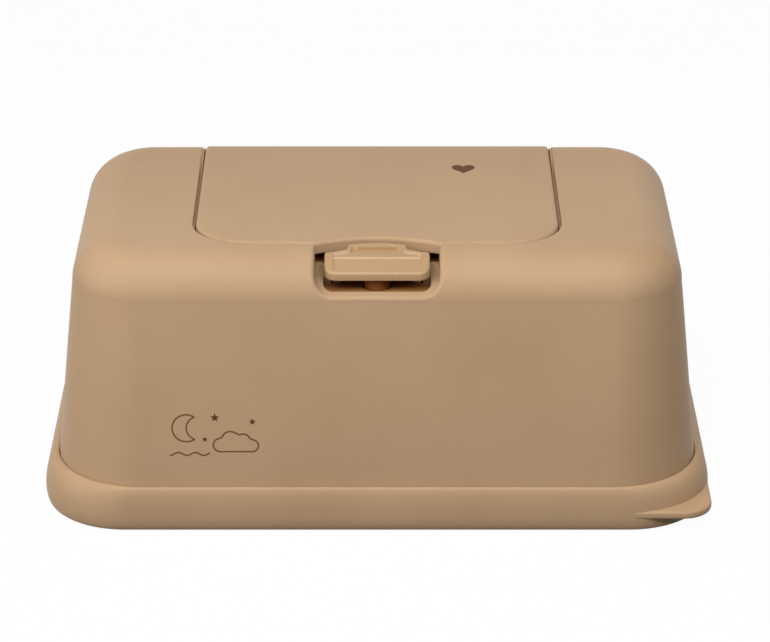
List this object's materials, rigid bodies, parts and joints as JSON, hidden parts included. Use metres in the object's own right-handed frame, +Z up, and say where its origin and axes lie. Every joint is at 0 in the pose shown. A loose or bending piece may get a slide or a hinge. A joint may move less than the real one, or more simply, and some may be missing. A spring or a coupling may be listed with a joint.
{
  "type": "wipe dispenser",
  "caption": "Free-standing box for moist wipes: base tray with pull tab and feet, plug-in hood, sprung lid over a sealed dispensing opening, rocking latch button.",
  "frame": {"origin": "middle of the underside of the feet, on the surface the box stands on", "axes": "+X to the right along the length, +Y to the rear where the lid's hinge is, +Z up"},
  "size_m": [0.22, 0.1304, 0.0925],
  "materials": {
    "shell": "semi-matte moulded",
    "lid_shell": "semi-matte moulded",
    "button_shell": "semi-matte moulded",
    "silicone": "soft matte",
    "foot_rubber": "matte",
    "steel": "drawn wire"
  },
  "bodies": {
    "base": {"base_tray": "shell", "base_gasket": "silicone", "foot_front_left": "foot_rubber", "foot_front_right": "foot_rubber", "foot_rear_left": "foot_rubber", "foot_rear_right": "foot_rubber"},
    "hood": {"hood": "shell", "hinge_pin": "steel", "lid_spring_left": "steel", "lid_spring_right": "steel", "button_pin": "steel", "button_spring": "steel"},
    "lid": {"lid": "lid_shell", "lid_seal": "silicone"},
    "button": {"latch_button": "button_shell"}
  },
  "joints": [
    {"name": "hood_lift", "type": "slide", "parent": "base", "child": "hood", "axis": [0, 0, 1], "range_m": [0, 0.09]},
    {"name": "lid_hinge", "type": "hinge", "parent": "hood", "child": "lid", "pos_m": [0, 0.05007, 0.08236], "axis": [-1, 0, 0], "range_deg": [0, 100], "deforming": ["lid_spring_left", "lid_spring_right"]},
    {"name": "button_rock", "type": "hinge", "parent": "hood", "child": "button", "pos_m": [0, -0.04097, 0.0796], "axis": [1, 0, 0], "range_deg": [0, 7], "stiffness_Nm_per_rad": 0.25, "springref_deg": -2.86, "deforming": ["button_spring"]}
  ]
}
